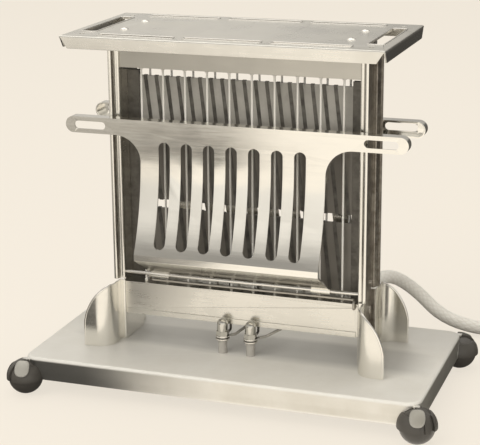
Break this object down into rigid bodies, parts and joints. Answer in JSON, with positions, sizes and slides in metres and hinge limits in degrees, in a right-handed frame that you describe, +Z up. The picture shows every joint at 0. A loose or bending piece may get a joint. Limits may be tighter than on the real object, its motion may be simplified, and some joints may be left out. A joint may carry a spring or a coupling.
{
  "type": "drop side toaster",
  "caption": "Electric toaster with a central wire guarded element, hinged drop sides that swing outward, a flat slotted warming tray on top and a ball footed base.",
  "frame": {"origin": "centre of the base footprint, on the floor plane", "axes": "+X along the base towards the cord coil's side, -Y towards the front door, +Z up"},
  "size_m": [0.4013, 0.1907, 0.2014],
  "materials": {
    "nickel_plate": "polished nickel plate on pressed steel",
    "nickel_small": "bright nickel plate",
    "steel_wire": "drawn steel wire and strip",
    "black_ball": "turned and black enamelled",
    "mica": "split mica sheet",
    "ribbon": "oxidised resistance ribbon",
    "porcelain": "unglazed porcelain",
    "steatite": "grey steatite",
    "cord_cloth": "braided cotton",
    "plug_black": "moulded black composition",
    "plug_brass": "plain brass"
  },
  "bodies": {
    "frame": {"acorn_nuts": "nickel_small", "back_apron": "nickel_plate", "back_door_spring": "steel_wire", "back_guard_wires": "steel_wire", "back_header": "nickel_plate", "back_hinge_rod": "nickel_small", "base_plate": "nickel_plate", "cord_bushing": "porcelain", "cord_coil": "cord_cloth", "cord_strain_relief": "cord_cloth", "cord_tube": "cord_cloth", "element_leads": "ribbon", "foot_back_left": "black_ball", "foot_back_right": "black_ball", "foot_front_left": "black_ball", "foot_front_right": "black_ball", "front_apron": "nickel_plate", "front_door_spring": "steel_wire", "front_guard_wires": "steel_wire", "front_header": "nickel_plate", "front_hinge_rod": "nickel_small", "left_element_channel": "steel_wire", "left_standard": "nickel_plate", "lower_heating_ribbon": "ribbon", "lower_mica_card": "mica", "plug_body": "plug_black", "plug_pins": "plug_brass", "right_element_channel": "steel_wire", "right_standard": "nickel_plate", "side_rivets": "nickel_small", "supply_leads": "cord_cloth", "terminal_block": "porcelain", "terminal_sleeves": "steatite", "terminal_studs": "nickel_small", "terminal_washers": "nickel_small", "top_tray": "nickel_plate", "tray_rivets": "nickel_small", "upper_heating_ribbon": "ribbon", "upper_mica_card": "mica"},
    "front_door": {"front_door": "nickel_plate"},
    "back_door": {"back_door": "nickel_plate"}
  },
  "joints": [
    {"name": "front_door_hinge", "type": "hinge", "parent": "frame", "child": "front_door", "pos_m": [0, -0.0108, 0.0617], "axis": [1, 0, 0], "range_deg": [0, 90], "stiffness_Nm_per_rad": 0.02, "springref_deg": -63.03},
    {"name": "back_door_hinge", "type": "hinge", "parent": "frame", "child": "back_door", "pos_m": [0, 0.0108, 0.0617], "axis": [-1, 0, 0], "range_deg": [0, 90], "stiffness_Nm_per_rad": 0.02, "springref_deg": -63.03}
  ]
}
